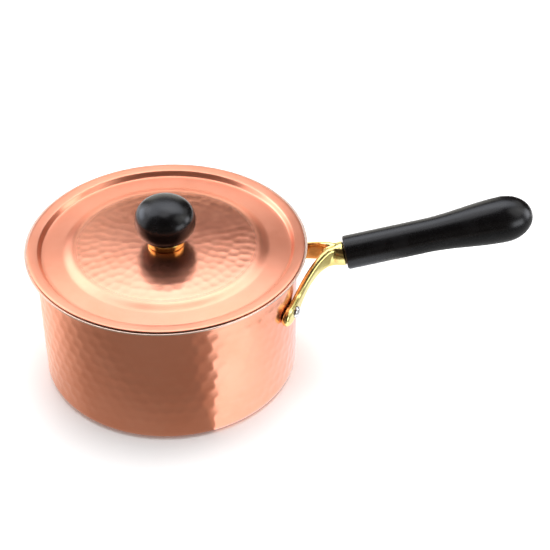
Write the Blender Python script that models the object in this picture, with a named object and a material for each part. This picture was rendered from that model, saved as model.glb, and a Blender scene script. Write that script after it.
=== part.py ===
# Hammered copper saucepan with a lift-off lid.
# Metres, +Z up. The origin is the centre of the base's underside, on the pan's axis.
# The handle points along +X. "Front" is the -Y side and "rear" the +Y side.

import math

import bmesh
import bpy
from mathutils import Vector

# Fits and mesh fineness
SEAT_GAP = 0.0003           # between two pieces that touch
HOLE_CLEARANCE = 0.0003     # all round a shank in its hole or thread
MERGE_DISTANCE = 0.000001
BODY_STEPS = 64             # round steps of the pan and lid
KNOB_STEPS = 40
GRIP_STEPS = 32
FASTENER_STEPS = 20
SECTION_POINTS = 16         # round a section of the bracket

# Pan
PAN_INNER_DIAMETER = 0.180  # inside, below the lip
PAN_WALL = 0.0012
PAN_TAPER = 0.0006          # radius lost from the lip down to the base
PAN_WALL_HEIGHT = 0.0939    # underside of the base up to the start of the lip
BASE_CORNER_RADIUS = 0.0060
LIP_RADIUS = 0.0060         # underside of the curl
LIP_ANGLE = math.radians(75)
LIP_WIDTH = 0.0073          # how far the lip stands out from the wall

# Lid
LID_SHEET = 0.0010
LID_SETBACK = 0.0023        # the lip shows this far outside the lid
LID_STEP_CLEARANCE = 0.0006
LID_FLANGE_FALL = 0.0004    # the flange leans in by this much
LID_STEP_WIDTH = 0.0030
LID_STEP_DEPTH = 0.0037
LID_TRAY_WIDTH = 0.0137     # smooth ring inside the step
LID_TRAY_RISE = 0.0003
LID_SHOULDER_WIDTH = 0.0088
LID_SHOULDER_RISE = 0.0022
LID_CROWN_RISE = 0.0014     # doming of the hammered middle

# Knob on the lid
KNOB_DIAMETER = 0.0420
KNOB_HEIGHT = 0.0305
KNOB_WAIST_HEIGHT = 0.0142  # foot of the knob up to its widest place
KNOB_FOOT_DIAMETER = 0.0256
KNOB_SQUARENESS = 2.3        # 2 is an ellipse
FERRULE_DIAMETER = 0.0258
FERRULE_HEIGHT = 0.0044
FERRULE_EDGE_RADIUS = 0.0006
KNOB_INSERT_DIAMETER = 0.0085
KNOB_INSERT_LENGTH = 0.0140
KNOB_SCREW_DIAMETER = 0.0050
KNOB_SCREW_REACH = 0.0110   # length of screw inside the insert
KNOB_SCREW_HEAD_DIAMETER = 0.0090
KNOB_SCREW_HEAD_HEIGHT = 0.0030
KNOB_SCREW_HEAD_EDGE = 0.0012
KNOB_SCREW_CHAMFER = 0.0010
KNOB_SCREW_SLOT_WIDTH = 0.0012
KNOB_SCREW_SLOT_DEPTH = 0.0014
KNOB_WASHER_DIAMETER = 0.0150
KNOB_WASHER_THICKNESS = 0.0012
LOCK_WASHER_DIAMETER = 0.0090
LOCK_WASHER_THICKNESS = 0.0012
LOCK_WASHER_SPLIT = 0.0010

# Handle
HANDLE_INCLINE = math.radians(12.1)
GRIP_STANDOFF = 0.0339      # pan's wall to the middle of the grip's front face
GRIP_DROP = 0.0073          # that place below the top of the straight wall
GRIP_LENGTH = 0.1338
GRIP_NECK_DIAMETER = 0.0242
GRIP_BULB_DIAMETER = 0.0324
GRIP_SWELL_START = 0.0580   # along the grip, where it begins to swell
GRIP_BULB_PLACE = 0.1130    # along the grip, where it is widest
GRIP_EDGE_RADIUS = 0.0016
GRIP_INSERT_DIAMETER = 0.0100
GRIP_INSERT_LENGTH = 0.0400
GRIP_INSERT_SINK = 0.0015   # the insert lies this deep behind the grip's face
TANG_DIAMETER = 0.0060
TANG_IN_STEM = 0.0095
TANG_IN_INSERT = 0.0360
TANG_CHAMFER = 0.0009

# Bracket between pan and handle
STEM_DIAMETER = 0.0178
STEM_LENGTH = 0.0150
STEM_ROOT_WIDTH = 0.0080    # where it fills the fork
STEM_ROOT_HEIGHT = 0.0125
STEM_SQUARENESS = 2.0       # 2 is an ellipse
ARM_THICKNESS = 0.0049
ARM_WAIST = 0.0010          # height the arm loses in the middle of its sweep
ARM_LEAN = math.radians(8)  # the arm's top leans out by this in the middle of its sweep
ARM_ROOT_HEIGHT = 0.0160
ARM_ROOT_REACH = 0.0045     # the arms end this far before the grip's face
ARM_ROOT_OFFSET = 0.0014    # arm's middle from the handle's plane, at the stem
ARM_CLIMB_END = 0.85        # share of the sweep where the arm is at its full height
ARM_FOOT_PULL = 0.0075      # how far the arm keeps the wall's direction
ARM_ROOT_PULL = 0.0105      # how far it keeps the handle's direction
ARM_SQUARENESS = 4.0
FOOT_HEIGHT = 0.0134
FOOT_DROP = 0.0260          # its middle below the top of the straight wall
FOOT_END_ANGLE = math.radians(33.6)
FOOT_LEAVE_ANGLE = math.radians(20)
FOOT_NOSE_LENGTH = 0.0085
RIVET_ANGLE = math.radians(24.7)
RIVET_SHANK_DIAMETER = 0.0040
RIVET_HEAD_DIAMETER = 0.0086
RIVET_HEAD_HEIGHT = 0.0023

# Sizes that follow from those above
PAN_INNER_RADIUS = PAN_INNER_DIAMETER / 2
WALL_TOP_RADIUS = PAN_INNER_RADIUS + PAN_WALL
WALL_BASE_RADIUS = WALL_TOP_RADIUS - PAN_TAPER
LIP_EDGE_RADIUS = WALL_TOP_RADIUS + LIP_WIDTH
LID_RADIUS = LIP_EDGE_RADIUS - LID_SETBACK
LID_STEP_RADIUS = PAN_INNER_RADIUS - LID_STEP_CLEARANCE
FOOT_CENTRE_HEIGHT = PAN_WALL_HEIGHT - FOOT_DROP


def wall_radius(height):
    # Outer radius of the pan's straight wall at a height above the base.
    share = (height - BASE_CORNER_RADIUS) / (PAN_WALL_HEIGHT - BASE_CORNER_RADIUS)
    return WALL_BASE_RADIUS + PAN_TAPER * share


def arc(centre, radius, start, end, steps=5):
    # Points round a centre, from one angle to another, both ends included.
    points = []
    for step in range(steps + 1):
        angle = start + (end - start) * step / steps
        points.append((centre[0] + radius * math.cos(angle), centre[1] + radius * math.sin(angle)))
    return points


def ease(share):
    # Smooth blend from 0 to 1.
    return share * share * (3 - 2 * share)


def make_material(name, colour, roughness, metallic):
    material = bpy.data.materials.new(name)
    material.use_nodes = True
    shader = material.node_tree.nodes["Principled BSDF"]
    shader.inputs["Base Color"].default_value = (*colour, 1.0)
    shader.inputs["Roughness"].default_value = roughness
    shader.inputs["Metallic"].default_value = metallic
    material.diffuse_color = (*colour, 1.0)
    return material


def add_object(name, work, material=None):
    # Turn a bmesh into a named, smooth-shaded object.
    mesh = bpy.data.meshes.new(name)
    work.to_mesh(mesh)
    work.free()
    mesh.shade_smooth()
    mesh.set_sharp_from_angle(angle=math.radians(35))
    thing = bpy.data.objects.new(name, mesh)
    bpy.context.scene.collection.objects.link(thing)
    if material:
        mesh.materials.append(material)
    return thing


def turned(name, outline, steps, material=None, closed=True, sheet=False):
    # Spin an outline of (radius, height) points about Z. A closed outline makes a ring,
    # and one that starts and ends on the axis makes a solid. The faces of a sheet that
    # runs outwards look up.
    work = bmesh.new()
    verts = [work.verts.new((radius, 0, height)) for radius, height in outline]
    edges = [work.edges.new(pair) for pair in zip(verts, verts[1:])]
    if closed:
        edges.append(work.edges.new((verts[-1], verts[0])))
    bmesh.ops.spin(work, geom=verts + edges, cent=(0, 0, 0), axis=(0, 0, 1),
                   angle=math.tau, steps=steps, use_merge=True)
    bmesh.ops.remove_doubles(work, verts=work.verts, dist=MERGE_DISTANCE)
    if sheet:
        turn_faces_up(work)
    else:
        bmesh.ops.recalc_face_normals(work, faces=work.faces)
    return add_object(name, work, material)


def turn_faces_up(work):
    # Flip a sheet whose innermost face looks down.
    work.normal_update()
    innermost = min(work.faces, key=lambda face: face.calc_center_median().xy.length)
    if innermost.normal.z < 0:
        bmesh.ops.reverse_faces(work, faces=work.faces)


def give_thickness(sheet, thickness, side):
    # Thicken a sheet behind its faces (-1) or in front of them (1).
    solidify = sheet.modifiers.new("thickness", "SOLIDIFY")
    solidify.thickness = thickness
    solidify.offset = side
    solidify.use_even_offset = True


def cut(thing, cutter):
    cutter.hide_render = True
    cutter.display_type = "WIRE"
    boolean = thing.modifiers.new(cutter.name, "BOOLEAN")
    boolean.operation = "DIFFERENCE"
    boolean.object = cutter


def join_to(thing, other):
    other.hide_render = True
    other.display_type = "WIRE"
    boolean = thing.modifiers.new(other.name, "BOOLEAN")
    boolean.operation = "UNION"
    boolean.object = other


def aim(thing, place, direction):
    # Put an object's own Z axis along a direction.
    thing.location = place
    thing.rotation_euler = Vector(direction).to_track_quat("Z", "Y").to_euler()


def cylinder_cutter(name, radius, bottom, top, steps=FASTENER_STEPS):
    outline = [(0, top), (radius, top), (radius, bottom), (0, bottom)]
    return turned(name, outline, steps, closed=False)


def box_cutter(name, low, high):
    work = bmesh.new()
    bmesh.ops.create_cube(work, size=1)
    size = [top - bottom for bottom, top in zip(low, high)]
    middle = [(top + bottom) / 2 for bottom, top in zip(low, high)]
    bmesh.ops.scale(work, vec=size, verts=work.verts)
    bmesh.ops.translate(work, vec=middle, verts=work.verts)
    return add_object(name, work)


# Pan

def lip_underside():
    # From the top of the straight wall, out over the curl, to the lip's edge.
    centre = (WALL_TOP_RADIUS + LIP_RADIUS, PAN_WALL_HEIGHT)
    curl = arc(centre, LIP_RADIUS, math.pi, math.pi - LIP_ANGLE)
    end_radius, end_height = curl[-1]
    edge_height = end_height + (LIP_EDGE_RADIUS - end_radius) / math.tan(LIP_ANGLE)
    return curl + [(LIP_EDGE_RADIUS, edge_height)]


def lip_top_height(radius):
    # Height of the lip's upper side in its straight outer stretch.
    edge_height = lip_underside()[-1][1]
    slope = 1 / math.tan(LIP_ANGLE)
    return edge_height - (LIP_EDGE_RADIUS - radius) * slope + PAN_WALL / math.sin(LIP_ANGLE)


def make_pan_shell(material):
    corner_centre = (WALL_BASE_RADIUS - BASE_CORNER_RADIUS, BASE_CORNER_RADIUS)
    corner = arc(corner_centre, BASE_CORNER_RADIUS, -math.pi / 2, 0)
    foot_height = FOOT_CENTRE_HEIGHT - FOOT_HEIGHT
    path = [(0, 0)] + corner + [(wall_radius(foot_height), foot_height)] + lip_underside()
    shell = turned("pan_shell", path, BODY_STEPS, material, closed=False, sheet=True)
    give_thickness(shell, PAN_WALL, 1)
    return shell


# Lid

LID_TOP = lip_top_height(LID_RADIUS) + SEAT_GAP + LID_SHEET
LID_TRAY_OUTER_RADIUS = LID_STEP_RADIUS - LID_STEP_WIDTH
LID_TRAY_INNER_RADIUS = LID_TRAY_OUTER_RADIUS - LID_TRAY_WIDTH
LID_CROWN_RADIUS = LID_TRAY_INNER_RADIUS - LID_SHOULDER_WIDTH
LID_STEP_TOP = LID_TOP - LID_FLANGE_FALL
LID_TRAY_HEIGHT = LID_STEP_TOP - LID_STEP_DEPTH
LID_CROWN_EDGE = LID_TRAY_HEIGHT + LID_TRAY_RISE + LID_SHOULDER_RISE
LID_CROWN_TOP = LID_CROWN_EDGE + LID_CROWN_RISE


def lid_path():
    # Upper side of the lid, from the knob's hole out to the edge.
    hole_radius = KNOB_SCREW_DIAMETER / 2 + HOLE_CLEARANCE
    path = []
    crown_steps = 4
    for step in range(crown_steps):
        radius = hole_radius + (LID_CROWN_RADIUS - hole_radius) * step / crown_steps
        fall = (radius / LID_CROWN_RADIUS) ** 2
        path.append((radius, LID_CROWN_TOP - LID_CROWN_RISE * fall))
    shoulder_steps = 5
    for step in range(shoulder_steps + 1):
        share = step / shoulder_steps
        height = LID_SHOULDER_RISE * ease(1 - share)
        path.append((LID_CROWN_RADIUS + LID_SHOULDER_WIDTH * share,
                     LID_TRAY_HEIGHT + LID_TRAY_RISE + height))
    step_steps = 5
    for step in range(step_steps + 1):
        share = step / step_steps
        path.append((LID_TRAY_OUTER_RADIUS + LID_STEP_WIDTH * share,
                     LID_TRAY_HEIGHT + LID_STEP_DEPTH * ease(share)))
    path.append((LID_RADIUS, LID_TOP))
    return path


def make_lid_sheet(material):
    lid = turned("lid_sheet", lid_path(), BODY_STEPS, material, closed=False, sheet=True)
    give_thickness(lid, LID_SHEET, -1)
    return lid


# Knob

FERRULE_BOTTOM = LID_CROWN_TOP + SEAT_GAP
KNOB_FOOT = FERRULE_BOTTOM + FERRULE_HEIGHT + SEAT_GAP
WASHER_TOP = LID_CROWN_TOP - LID_SHEET - SEAT_GAP
LOCK_WASHER_TOP = WASHER_TOP - KNOB_WASHER_THICKNESS - SEAT_GAP
SCREW_HEAD_TOP = LOCK_WASHER_TOP - LOCK_WASHER_THICKNESS - SEAT_GAP
SCREW_HOLE_RADIUS = KNOB_SCREW_DIAMETER / 2 + HOLE_CLEARANCE


def make_knob(material):
    radius = KNOB_DIAMETER / 2
    foot_radius = KNOB_FOOT_DIAMETER / 2
    crown_height = KNOB_HEIGHT - KNOB_WAIST_HEIGHT
    power = 2 / KNOB_SQUARENESS
    # The lower half is part of a squarish ellipse that passes through the foot's edge.
    foot_turn = math.acos((foot_radius / radius) ** (1 / power))
    lower_height = KNOB_WAIST_HEIGHT / math.sin(foot_turn) ** power
    outline = []
    for turn in (math.pi / 2 * step / 8 for step in range(8, 0, -1)):
        outline.append((radius * math.cos(turn) ** power, KNOB_WAIST_HEIGHT + crown_height * math.sin(turn) ** power))
    outline[0] = (0, KNOB_HEIGHT)
    for turn in (foot_turn * step / 7 for step in range(8)):
        outline.append((radius * math.cos(turn) ** power, KNOB_WAIST_HEIGHT - lower_height * math.sin(turn) ** power))
    bore_radius = KNOB_INSERT_DIAMETER / 2 + HOLE_CLEARANCE
    bore_depth = KNOB_INSERT_LENGTH + 2 * SEAT_GAP
    outline += [(bore_radius, 0), (bore_radius, bore_depth), (0, bore_depth)]
    knob = turned("lid_knob", outline, KNOB_STEPS, material, closed=False)
    knob.location.z = KNOB_FOOT
    return knob


def make_ferrule(material):
    radius = FERRULE_DIAMETER / 2
    edge = FERRULE_EDGE_RADIUS
    upper = arc((radius - edge, FERRULE_HEIGHT - edge), edge, math.pi / 2, 0, steps=3)
    lower = arc((radius - edge, edge), edge, 0, -math.pi / 2, steps=3)
    outline = [(SCREW_HOLE_RADIUS, FERRULE_HEIGHT)] + upper + lower + [(SCREW_HOLE_RADIUS, 0)]
    ferrule = turned("knob_ferrule", outline, KNOB_STEPS, material)
    ferrule.location.z = FERRULE_BOTTOM
    return ferrule


def make_knob_insert(material):
    radius = KNOB_INSERT_DIAMETER / 2
    outline = [(SCREW_HOLE_RADIUS, KNOB_INSERT_LENGTH), (radius, KNOB_INSERT_LENGTH),
               (radius, 0), (SCREW_HOLE_RADIUS, 0)]
    insert = turned("knob_insert", outline, FASTENER_STEPS, material)
    insert.location.z = KNOB_FOOT + SEAT_GAP
    return insert


def make_knob_washers(flat_material, lock_material):
    radius = KNOB_WASHER_DIAMETER / 2
    outline = [(SCREW_HOLE_RADIUS, 0), (radius, 0),
               (radius, -KNOB_WASHER_THICKNESS), (SCREW_HOLE_RADIUS, -KNOB_WASHER_THICKNESS)]
    flat = turned("knob_flat_washer", outline, FASTENER_STEPS, flat_material)
    flat.location.z = WASHER_TOP
    radius = LOCK_WASHER_DIAMETER / 2
    outline = [(SCREW_HOLE_RADIUS, 0), (radius, 0),
               (radius, -LOCK_WASHER_THICKNESS), (SCREW_HOLE_RADIUS, -LOCK_WASHER_THICKNESS)]
    lock = turned("knob_lock_washer", outline, FASTENER_STEPS, lock_material)
    lock.location.z = LOCK_WASHER_TOP
    half_split = LOCK_WASHER_SPLIT / 2
    split = box_cutter("lock_washer_split", (0, -half_split, -2 * LOCK_WASHER_THICKNESS),
                       (2 * radius, half_split, LOCK_WASHER_THICKNESS))
    split.location.z = LOCK_WASHER_TOP
    cut(lock, split)


def make_knob_screw(material):
    head_radius = KNOB_SCREW_HEAD_DIAMETER / 2
    shank_radius = KNOB_SCREW_DIAMETER / 2
    shank_top = KNOB_FOOT + SEAT_GAP + KNOB_SCREW_REACH - SCREW_HEAD_TOP
    edge = KNOB_SCREW_HEAD_EDGE
    bottom_edge = arc((head_radius - edge, edge - KNOB_SCREW_HEAD_HEIGHT), edge, 0, -math.pi / 2)
    outline = [(0, shank_top), (shank_radius - KNOB_SCREW_CHAMFER, shank_top),
               (shank_radius, shank_top - KNOB_SCREW_CHAMFER), (shank_radius, 0), (head_radius, 0)]
    outline += bottom_edge + [(0, -KNOB_SCREW_HEAD_HEIGHT)]
    screw = turned("knob_screw", outline, FASTENER_STEPS, material, closed=False)
    screw.location.z = SCREW_HEAD_TOP
    half_slot = KNOB_SCREW_SLOT_WIDTH / 2
    slot = box_cutter("screw_slot", (-head_radius * 2, -half_slot, -2 * KNOB_SCREW_HEAD_HEIGHT),
                      (head_radius * 2, half_slot, KNOB_SCREW_SLOT_DEPTH - KNOB_SCREW_HEAD_HEIGHT))
    slot.location.z = SCREW_HEAD_TOP
    cut(screw, slot)


# Handle. Its pieces are turned about their own Z, and an empty on the middle of
# the grip's front face points that axis up along the handle.

GRIP_PLACE = Vector((WALL_TOP_RADIUS + GRIP_STANDOFF, 0, PAN_WALL_HEIGHT - GRIP_DROP))
HANDLE_DIRECTION = Vector((math.cos(HANDLE_INCLINE), 0, math.sin(HANDLE_INCLINE)))


def make_handle_axis():
    axis = bpy.data.objects.new("handle_axis", None)
    bpy.context.scene.collection.objects.link(axis)
    aim(axis, GRIP_PLACE, HANDLE_DIRECTION)
    return axis


def grip_radius(distance):
    # Radius of the grip at a distance behind its front face.
    neck = GRIP_NECK_DIAMETER / 2
    bulb = GRIP_BULB_DIAMETER / 2
    if distance <= GRIP_SWELL_START:
        return neck
    if distance <= GRIP_BULB_PLACE:
        share = (distance - GRIP_SWELL_START) / (GRIP_BULB_PLACE - GRIP_SWELL_START)
        return neck + (bulb - neck) * ease(share)
    past = (distance - GRIP_BULB_PLACE) / (GRIP_LENGTH - GRIP_BULB_PLACE)
    return bulb * math.sqrt(max(1 - past * past, 0))


def make_grip(axis, material):
    outline = [(0, GRIP_LENGTH)]
    nose_length = GRIP_LENGTH - GRIP_BULB_PLACE
    for turn in (math.pi / 2 * step / 8 for step in range(7, 0, -1)):
        distance = GRIP_BULB_PLACE + nose_length * math.sin(turn)
        outline.append((grip_radius(distance), distance))
    swell_steps = 9
    for step in range(swell_steps, -1, -1):
        distance = GRIP_SWELL_START + (GRIP_BULB_PLACE - GRIP_SWELL_START) * step / swell_steps
        outline.append((grip_radius(distance), distance))
    neck = GRIP_NECK_DIAMETER / 2
    outline += arc((neck - GRIP_EDGE_RADIUS, GRIP_EDGE_RADIUS), GRIP_EDGE_RADIUS,
                   0, -math.pi / 2, steps=4)
    bore_radius = GRIP_INSERT_DIAMETER / 2 + HOLE_CLEARANCE
    bore_depth = GRIP_INSERT_SINK + GRIP_INSERT_LENGTH + SEAT_GAP
    outline += [(bore_radius, 0), (bore_radius, bore_depth), (0, bore_depth)]
    grip = turned("handle_grip", outline, GRIP_STEPS, material, closed=False)
    grip.parent = axis


def make_grip_insert(axis, material):
    radius = GRIP_INSERT_DIAMETER / 2
    hole_radius = TANG_DIAMETER / 2 + HOLE_CLEARANCE
    back = GRIP_INSERT_SINK + GRIP_INSERT_LENGTH
    outline = [(hole_radius, back), (radius, back),
               (radius, GRIP_INSERT_SINK), (hole_radius, GRIP_INSERT_SINK)]
    insert = turned("grip_insert", outline, FASTENER_STEPS, material)
    insert.parent = axis


def make_tang(axis, material):
    radius = TANG_DIAMETER / 2
    front = -SEAT_GAP - TANG_IN_STEM
    back = GRIP_INSERT_SINK + TANG_IN_INSERT
    outline = [(0, back), (radius - TANG_CHAMFER, back), (radius, back - TANG_CHAMFER),
               (radius, front + TANG_CHAMFER), (radius - TANG_CHAMFER, front), (0, front)]
    tang = turned("tang_stud", outline, FASTENER_STEPS, material, closed=False)
    tang.parent = axis


# Bracket: two arms that sweep from the stem down to feet riveted to the wall.

def section(work, middle, across, rise, width, height, squareness):
    # A closed loop with rounded corners, its width along one vector and its height along another.
    loop = []
    for step in range(SECTION_POINTS):
        turn = math.tau * (step + 0.5) / SECTION_POINTS
        sideways = math.copysign(abs(math.cos(turn)) ** (2 / squareness), math.cos(turn))
        upwards = math.copysign(abs(math.sin(turn)) ** (2 / squareness), math.sin(turn))
        point = middle + across * (sideways * width / 2) + rise * (upwards * height / 2)
        loop.append(work.verts.new(point))
    return loop


def loft(name, sections, material=None):
    # Skin a row of sections and close both ends.
    work = bmesh.new()
    loops = [section(work, *values) for values in sections]
    for loop in loops:
        for one, other in zip(loop, loop[1:] + loop[:1]):
            work.edges.new((one, other))
    for loop, following in zip(loops, loops[1:]):
        edges = [edge for edge in work.edges
                 if all(vert in loop for vert in edge.verts)
                 or all(vert in following for vert in edge.verts)]
        bmesh.ops.bridge_loops(work, edges=edges)
    for loop in (loops[0], loops[-1]):
        work.faces.new(loop)
    bmesh.ops.recalc_face_normals(work, faces=work.faces)
    return add_object(name, work, material)


FOOT_MIDDLE_RADIUS = wall_radius(FOOT_CENTRE_HEIGHT + FOOT_HEIGHT / 2) + SEAT_GAP + ARM_THICKNESS / 2
STEM_ROOT = GRIP_PLACE - HANDLE_DIRECTION * (STEM_LENGTH + SEAT_GAP)
ARM_ROOT = GRIP_PLACE - HANDLE_DIRECTION * ARM_ROOT_REACH
UP = Vector((0, 0, 1))


def arm_sections(side):
    # From the foot's rounded end, round the wall, then off it to the stem. The sweep
    # from wall to stem is a curve of the arm's top edge, and the arm hangs from it.
    sections = []
    nose_angle = FOOT_NOSE_LENGTH / FOOT_MIDDLE_RADIUS
    nose_steps = 4
    for step in range(1, nose_steps + 1):
        turn = math.pi / 2 * step / nose_steps
        angle = FOOT_END_ANGLE - nose_angle * (1 - math.cos(turn))
        sections.append(foot_section(angle, side, FOOT_HEIGHT * math.sin(turn)))
    flat_start = FOOT_END_ANGLE - nose_angle
    flat_steps = 2
    for step in range(1, flat_steps + 1):
        angle = flat_start + (FOOT_LEAVE_ANGLE - flat_start) * step / flat_steps
        sections.append(foot_section(angle, side, FOOT_HEIGHT))
    outward = Vector((math.cos(FOOT_LEAVE_ANGLE), math.sin(FOOT_LEAVE_ANGLE), 0))
    start = outward * FOOT_MIDDLE_RADIUS
    start_pull = start + Vector((outward.y, -outward.x, 0)) * ARM_FOOT_PULL
    end = Vector((ARM_ROOT.x, ARM_ROOT_OFFSET, 0))
    end_pull = end - Vector((ARM_ROOT_PULL, 0, 0))
    foot_top = FOOT_CENTRE_HEIGHT + FOOT_HEIGHT / 2
    root_top = ARM_ROOT.z + ARM_ROOT_HEIGHT / 2
    sweep_steps = 9
    for step in range(1, sweep_steps + 1):
        share = step / sweep_steps
        top, run = curve_point(start, start_pull, end_pull, end, share)
        climb = ease(min(share / ARM_CLIMB_END, 1))
        top.z = foot_top + (root_top - foot_top) * climb
        height = FOOT_HEIGHT + (ARM_ROOT_HEIGHT - FOOT_HEIGHT) * share
        bend = math.sin(math.pi * share) ** 2
        height -= ARM_WAIST * bend
        outward = Vector((-run.y, run.x, 0)).normalized()
        rise = UP * math.cos(ARM_LEAN * bend) + outward * math.sin(ARM_LEAN * bend)
        across = outward * math.cos(ARM_LEAN * bend) - UP * math.sin(ARM_LEAN * bend)
        middle = top - rise * height / 2
        for vector in (middle, across, rise):
            vector.y *= side
        sections.append((middle, across, rise, ARM_THICKNESS, height, ARM_SQUARENESS))
    return sections


def foot_section(angle, side, height):
    outward = Vector((math.cos(angle), side * math.sin(angle), 0))
    middle = outward * FOOT_MIDDLE_RADIUS + Vector((0, 0, FOOT_CENTRE_HEIGHT))
    return (middle, outward, UP, ARM_THICKNESS, height, ARM_SQUARENESS)


def curve_point(start, start_pull, end_pull, end, share):
    # A point on a cubic curve and the curve's direction there.
    rest = 1 - share
    place = (start * rest ** 3 + start_pull * 3 * rest ** 2 * share
             + end_pull * 3 * rest * share ** 2 + end * share ** 3)
    run = ((start_pull - start) * rest ** 2 + (end_pull - start_pull) * 2 * rest * share
           + (end - end_pull) * share ** 2)
    return place, run


def make_bracket(axis, material):
    stem_sections = []
    across = Vector((0, 1, 0))
    rise = HANDLE_DIRECTION.cross(across)
    stem_steps = 5
    for step in range(stem_steps + 1):
        share = step / stem_steps
        middle = STEM_ROOT + HANDLE_DIRECTION * STEM_LENGTH * share
        width = STEM_ROOT_WIDTH + (STEM_DIAMETER - STEM_ROOT_WIDTH) * ease(share)
        height = STEM_ROOT_HEIGHT + (STEM_DIAMETER - STEM_ROOT_HEIGHT) * ease(share)
        stem_sections.append((middle, across, rise, width, height, STEM_SQUARENESS))
    bracket = loft("handle_bracket", stem_sections, material)
    for side, name in ((-1, "bracket_arm_front"), (1, "bracket_arm_rear")):
        join_to(bracket, loft(name, arm_sections(side)))
    bore = cylinder_cutter("stem_bore", TANG_DIAMETER / 2 + HOLE_CLEARANCE,
                           -TANG_IN_STEM - 2 * SEAT_GAP, STEM_DIAMETER)
    bore.parent = axis
    cut(bracket, bore)
    return bracket


def make_rivets(shell, bracket, material):
    inner_seat = wall_radius(FOOT_CENTRE_HEIGHT) - PAN_WALL - 2 * SEAT_GAP
    outer_seat = FOOT_MIDDLE_RADIUS + ARM_THICKNESS / 2 + SEAT_GAP
    shank = RIVET_SHANK_DIAMETER / 2
    head = RIVET_HEAD_DIAMETER / 2
    dome = [(head * math.cos(turn), RIVET_HEAD_HEIGHT * math.sin(turn))
            for turn in (math.pi / 2 * step / 4 for step in range(4, -1, -1))]
    dome[0] = (0, RIVET_HEAD_HEIGHT)
    outline = [(radius, outer_seat + height) for radius, height in dome]
    outline += [(shank, outer_seat), (shank, inner_seat)]
    outline += [(radius, inner_seat - height) for radius, height in reversed(dome)]
    for side, place in ((-1, "front"), (1, "rear")):
        direction = (math.cos(RIVET_ANGLE), side * math.sin(RIVET_ANGLE), 0)
        rivet = turned("rivet_" + place, outline, FASTENER_STEPS, material, closed=False)
        aim(rivet, (0, 0, FOOT_CENTRE_HEIGHT), direction)
        hole = cylinder_cutter("rivet_hole_" + place, shank + HOLE_CLEARANCE,
                               inner_seat - RIVET_HEAD_HEIGHT, outer_seat + RIVET_HEAD_HEIGHT)
        aim(hole, (0, 0, FOOT_CENTRE_HEIGHT), direction)
        cut(shell, hole)
        cut(bracket, hole)


def main():
    for thing in list(bpy.data.objects):
        bpy.data.objects.remove(thing)
    copper = make_material("hammered_copper", (0.86, 0.42, 0.28), 0.30, 1.0)
    lid_copper = make_material("lid_copper", (0.88, 0.44, 0.30), 0.30, 1.0)
    bracket_brass = make_material("cast_brass", (0.80, 0.62, 0.24), 0.15, 1.0)
    ferrule_brass = make_material("turned_brass", (0.82, 0.58, 0.20), 0.18, 1.0)
    insert_brass = make_material("insert_brass", (0.72, 0.56, 0.26), 0.35, 1.0)
    grip_black = make_material("grip_black", (0.015, 0.015, 0.016), 0.32, 0.0)
    knob_black = make_material("knob_black", (0.014, 0.014, 0.015), 0.25, 0.0)
    steel = make_material("plated_steel", (0.70, 0.70, 0.70), 0.25, 1.0)
    rivet_metal = make_material("rivet_metal", (0.75, 0.74, 0.72), 0.25, 1.0)

    shell = make_pan_shell(copper)
    axis = make_handle_axis()
    bracket = make_bracket(axis, bracket_brass)
    make_rivets(shell, bracket, rivet_metal)
    make_tang(axis, steel)
    make_grip_insert(axis, insert_brass)
    make_grip(axis, grip_black)

    make_lid_sheet(lid_copper)
    make_ferrule(ferrule_brass)
    make_knob(knob_black)
    make_knob_insert(insert_brass)
    make_knob_washers(steel, steel)
    make_knob_screw(steel)


main()
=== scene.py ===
import math
import random

import bmesh
import bpy
from mathutils import Matrix, Vector
from mathutils.kdtree import KDTree


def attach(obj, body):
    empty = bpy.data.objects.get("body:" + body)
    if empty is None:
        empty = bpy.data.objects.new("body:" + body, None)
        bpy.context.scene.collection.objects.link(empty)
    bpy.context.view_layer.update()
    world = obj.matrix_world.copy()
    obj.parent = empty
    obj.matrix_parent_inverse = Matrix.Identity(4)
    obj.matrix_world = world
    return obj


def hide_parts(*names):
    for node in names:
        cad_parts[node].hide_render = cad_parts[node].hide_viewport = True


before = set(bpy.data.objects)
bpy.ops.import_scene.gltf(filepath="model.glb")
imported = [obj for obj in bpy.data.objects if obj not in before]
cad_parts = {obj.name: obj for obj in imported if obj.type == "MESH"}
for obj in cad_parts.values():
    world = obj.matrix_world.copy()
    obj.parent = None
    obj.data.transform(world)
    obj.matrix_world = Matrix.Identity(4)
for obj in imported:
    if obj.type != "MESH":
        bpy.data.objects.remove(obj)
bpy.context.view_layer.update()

print("frame loaded:", len(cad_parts), "nodes")

crownRadius = 0.0639      # the lid's hammered middle
sharpAngle = 40           # degrees: flatter edges are shaded smooth
weldDistance = 0.000002


# Shader maths

class Wire:
    # One output of a material node. A sum written on it adds a Math node.
    def __init__(self, finish, socket):
        self.finish = finish
        self.socket = socket

    def sum(self, operation, first, second):
        return self.finish.node("Math", {"operation": operation}, {0: first, 1: second})

    def __add__(self, other):
        return self.sum("ADD", self, other)

    def __radd__(self, other):
        return self.sum("ADD", other, self)

    def __sub__(self, other):
        return self.sum("SUBTRACT", self, other)

    def __rsub__(self, other):
        return self.sum("SUBTRACT", other, self)

    def __mul__(self, other):
        return self.sum("MULTIPLY", self, other)

    def __rmul__(self, other):
        return self.sum("MULTIPLY", other, self)

    def __truediv__(self, other):
        return self.sum("DIVIDE", self, other)

    def __rtruediv__(self, other):
        return self.sum("DIVIDE", other, self)

    def __pow__(self, other):
        return self.sum("POWER", self, other)


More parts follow.
